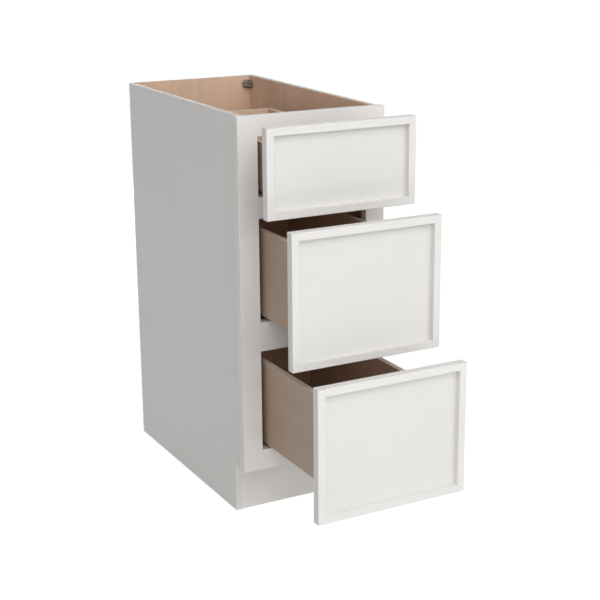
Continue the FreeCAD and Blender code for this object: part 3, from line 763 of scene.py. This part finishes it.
class CABINET_OT_drawer_fronts(bpy.types.Operator):
    """Painted stiles, rails and panel of each drawer front"""
    bl_idname = "cabinet.drawer_fronts"
    bl_label = "Drawer fronts"

    def execute(self, context):
        paint = paint_material("front paint", colours().paint)
        # the panels' darker copy of the paint is painted shade of the recess
        panel_paint = paint_material("front panel paint with painted shade", colours().panel_paint)
        for drawer in DRAWERS:
            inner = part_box(drawer + "_front_stiles")[1].x - FRONT_MEMBER
            joint = (joint_line(inner), edges().joint)
            for piece in ("front_stiles", "front_rails"):
                softened(drawer + "_" + piece, drawer + "_painted_" + piece,
                         edges().painted * 0.6, paint, joint=joint)
            softened(drawer + "_front_panel", drawer + "_painted_panel", edges().joint,
                     panel_paint)
        return {"FINISHED"}


class CABINET_OT_drawer_boxes(bpy.types.Operator):
    """Dovetailed boards and plywood bottom of each drawer box"""
    bl_idname = "cabinet.drawer_boxes"
    bl_label = "Drawer boxes"

    def execute(self, context):
        # edge is the lighter colour of the boxes' upward faces: painted light
        edge = colours().box_edge
        lengthwise = wood_material("box side wood", 1, colours().box_wood, edge,
                                   inner=colours().box_inner)
        crosswise = wood_material("box end wood", 0, colours().box_inner, edge, (2.3, 0.7, 1.9))
        for drawer in DRAWERS:
            for piece, wood in (("box_side_left", lengthwise), ("box_side_right", lengthwise),
                                ("box_front", crosswise), ("box_back", crosswise)):
                softened(drawer + "_" + piece, drawer + "_wood" + piece[3:], edges().wood, wood,
                         shortest=60 * MM)
            low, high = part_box(drawer + "_box_bottom")
            ply = panel_material(drawer + " bottom ply", 2, low.z, high.z, 5, 1,
                                 ("veneer", "veneer"), colours())
            softened(drawer + "_box_bottom", drawer + "_wood_bottom", edges().plywood, ply)
        return {"FINISHED"}


class CABINET_OT_slides(bpy.types.Operator):
    """Plated slide members, their rear brackets and the locking clips"""
    bl_idname = "cabinet.slides"
    bl_label = "Slides"

    def execute(self, context):
        zinc = zinc_material("plated slide steel", colours().zinc, 1)
        bracket = plastic_material("bracket plastic", colours().bracket, 0.42)
        clip = plastic_material("clip plastic", colours().clip, 0.4)
        for drawer in DRAWERS:
            for piece in ("slide_rails", "slide_middles", "slide_channels"):
                softened(drawer + "_" + piece, drawer + "_plated" + piece[5:], edges().sheet,
                         zinc, segments=2)
            softened(drawer + "_locking_clips", drawer + "_moulded_clips", edges().moulded, clip,
                     shortest=2.5 * MM)
        softened("slide_rear_brackets", "moulded_rear_brackets", edges().moulded, bracket,
                 shortest=2.5 * MM)
        softened("corner_brackets", "moulded_corner_brackets", edges().moulded, bracket,
                 shortest=2.5 * MM)
        return {"FINISHED"}


class CABINET_OT_screws(bpy.types.Operator):
    """Cross-recessed screws"""
    bl_idname = "cabinet.screws"
    bl_label = "Screws"

    def execute(self, context):
        plated = zinc_material("plated screw steel", colours().screw, 2)
        for node in ["corner_bracket_screws", "slide_screws"] + [
                drawer + "_front_screws" for drawer in DRAWERS]:
            copies = [(screw_surface(*sizes), start, direction)
                      for start, direction, sizes in screw_places(node)]
            many(node.replace("screws", "threaded_screws"), node, plated, copies)
        return {"FINISHED"}


class CABINET_OT_bumpers(bpy.types.Operator):
    """Soft domed pads behind the drawer fronts"""
    bl_idname = "cabinet.bumpers"
    bl_label = "Bumper pads"

    def execute(self, context):
        soft = pad_material("soft pads", colours().pad)
        for drawer in DRAWERS:
            node = drawer + "_bumpers"
            copies = []
            for points in islands(node):
                low, high = points.min(0), points.max(0)
                start = (low + high) / 2
                start[1] = low[1]
                pad = pad_surface((high[2] - low[2]) / 2, high[1] - low[1])
                copies.append((pad, start, (0, 1, 0)))
            many(drawer + "_soft_pads", node, soft, copies)
        return {"FINISHED"}


class CABINET_OT_stage(bpy.types.Operator):
    """Camera, lamps, pale floor and white surroundings"""
    bl_idname = "cabinet.stage"
    bl_label = "Stage"

    def execute(self, context):
        settings = context.scene.cabinet_stage
        self.camera(context, settings)
        for name, (place, width, height, watts) in SOFT_BOXES.items():
            self.lamp(context, name, place, width, height, watts * settings.light)
        self.floor(context, settings)
        self.surroundings(context, settings)
        context.scene.view_settings.view_transform = "Standard"
        return {"FINISHED"}

    def camera(self, context, settings):
        data = bpy.data.cameras.new("camera")
        data.sensor_width = 36.0
        data.lens = settings.lens
        data.shift_x = settings.shift
        eye = bpy.data.objects.new("camera", data)
        eye.location = settings.eye
        eye.rotation_euler = (math.pi / 2 - settings.tilt, 0.0, -settings.turn)
        context.scene.collection.objects.link(eye)
        context.scene.camera = eye

    def lamp(self, context, name, place, width, height, watts):
        data = bpy.data.lights.new(name, "AREA")
        data.shape = "RECTANGLE"
        data.energy = watts
        data.size = width
        data.size_y = height
        lamp = bpy.data.objects.new(name, data)
        lamp.location = place
        aim = Vector((0.0, STILE_LOW.y, STILE_HIGH.z / 2)) - lamp.location
        lamp.rotation_euler = aim.to_track_quat("-Z", "Y").to_euler()
        context.scene.collection.objects.link(lamp)

    def floor(self, context, settings):
        half = FLOOR_REACH
        data = bpy.data.meshes.new("floor")
        data.from_pydata([(-half, -half, 0), (half, -half, 0), (half, half, 0), (-half, half, 0)],
                         [], [(0, 1, 2, 3)])
        graph = Graph(bpy.data.materials.new("pale floor"))
        seen = self.seen(graph)
        grey = (settings.floor_grey,) * 3 + (1.0,)
        lit = graph.node("ShaderNodeBsdfDiffuse", inputs={"Color": grey})
        share = settings.shadow_share
        faint = graph.node("ShaderNodeBsdfDiffuse", inputs={"Color": (share,) * 3 + (1.0,)})
        glow = graph.node("ShaderNodeEmission", inputs={"Strength": 1 - LIT_FLOOR * share})
        white = graph.node("ShaderNodeAddShader", inputs={0: faint, 1: glow})
        graph.node_output("ShaderNodeOutputMaterial",
                          graph.node("ShaderNodeMixShader", inputs={0: seen, 1: lit, 2: white}))
        data.materials.append(graph.owner)
        floor = bpy.data.objects.new("floor", data)
        context.scene.collection.objects.link(floor)

    def surroundings(self, context, settings):
        """A white room, whose light grows from even all round to strongest straight ahead."""
        world = bpy.data.worlds.new("white room")
        context.scene.world = world
        graph = Graph(world)

        def background(strength):
            return graph.node("ShaderNodeBackground",
                              inputs={"Color": (1.0, 1.0, 1.0, 1.0), "Strength": strength})

        def mixed(share, first, second):
            return graph.node("ShaderNodeMixShader", inputs={0: share, 1: first, 2: second})

        # a world's Generated coordinates are the direction looked in
        direction = graph.parts(graph.node("ShaderNodeTexCoord", output="Generated"))
        ahead = (direction[1] * -1).over(0.0)
        light = mixed(ahead, background(settings.ambient), background(settings.frontal))
        graph.node_output("ShaderNodeOutputWorld", mixed(self.seen(graph), light, background(1.0)))

    @staticmethod
    def seen(graph):
        """1 for rays that show the surroundings: from the camera, in gloss and through glass."""
        rays = [graph.node("ShaderNodeLightPath", output=kind)
                for kind in ("Is Camera Ray", "Is Glossy Ray", "Is Transmission Ray")]
        return rays[0].over(rays[1]).over(rays[2])


class CABINET_PT_panel(bpy.types.Panel):
    """Settings and steps of the cabinet"""
    bl_idname = "CABINET_PT_panel"
    bl_label = "Base Cabinet"
    bl_space_type = "VIEW_3D"
    bl_region_type = "UI"
    bl_category = "Cabinet"

    def draw(self, context):
        scene = context.scene
        for group in (scene.cabinet_edges, scene.cabinet_colours, scene.cabinet_stage):
            box = self.layout.box()
            for name in group.__annotations__:
                box.prop(group, name)
        for step in STEPS:
            self.layout.operator(step.bl_idname)


STEPS = (CABINET_OT_carcass, CABINET_OT_face_frame, CABINET_OT_drawer_fronts,
         CABINET_OT_drawer_boxes, CABINET_OT_slides, CABINET_OT_screws, CABINET_OT_bumpers,
         CABINET_OT_stage)
GROUPS = {"cabinet_edges": CabinetEdges, "cabinet_colours": CabinetColours,
          "cabinet_stage": CabinetStage}


def register():
    for kind in (*GROUPS.values(), *STEPS, CABINET_PT_panel):
        bpy.utils.register_class(kind)
    for name, group in GROUPS.items():
        setattr(bpy.types.Scene, name, bpy.props.PointerProperty(type=group))


def unregister():
    for name in GROUPS:
        delattr(bpy.types.Scene, name)
    for kind in reversed((*GROUPS.values(), *STEPS, CABINET_PT_panel)):
        bpy.utils.unregister_class(kind)


def main():
    """Registers the add-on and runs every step."""
    register()
    bpy.ops.cabinet.carcass()
    bpy.ops.cabinet.face_frame()
    bpy.ops.cabinet.drawer_fronts()
    bpy.ops.cabinet.drawer_boxes()
    bpy.ops.cabinet.slides()
    bpy.ops.cabinet.screws()
    bpy.ops.cabinet.bumpers()
    bpy.ops.cabinet.stage()


if __name__ == "__main__":
    main()
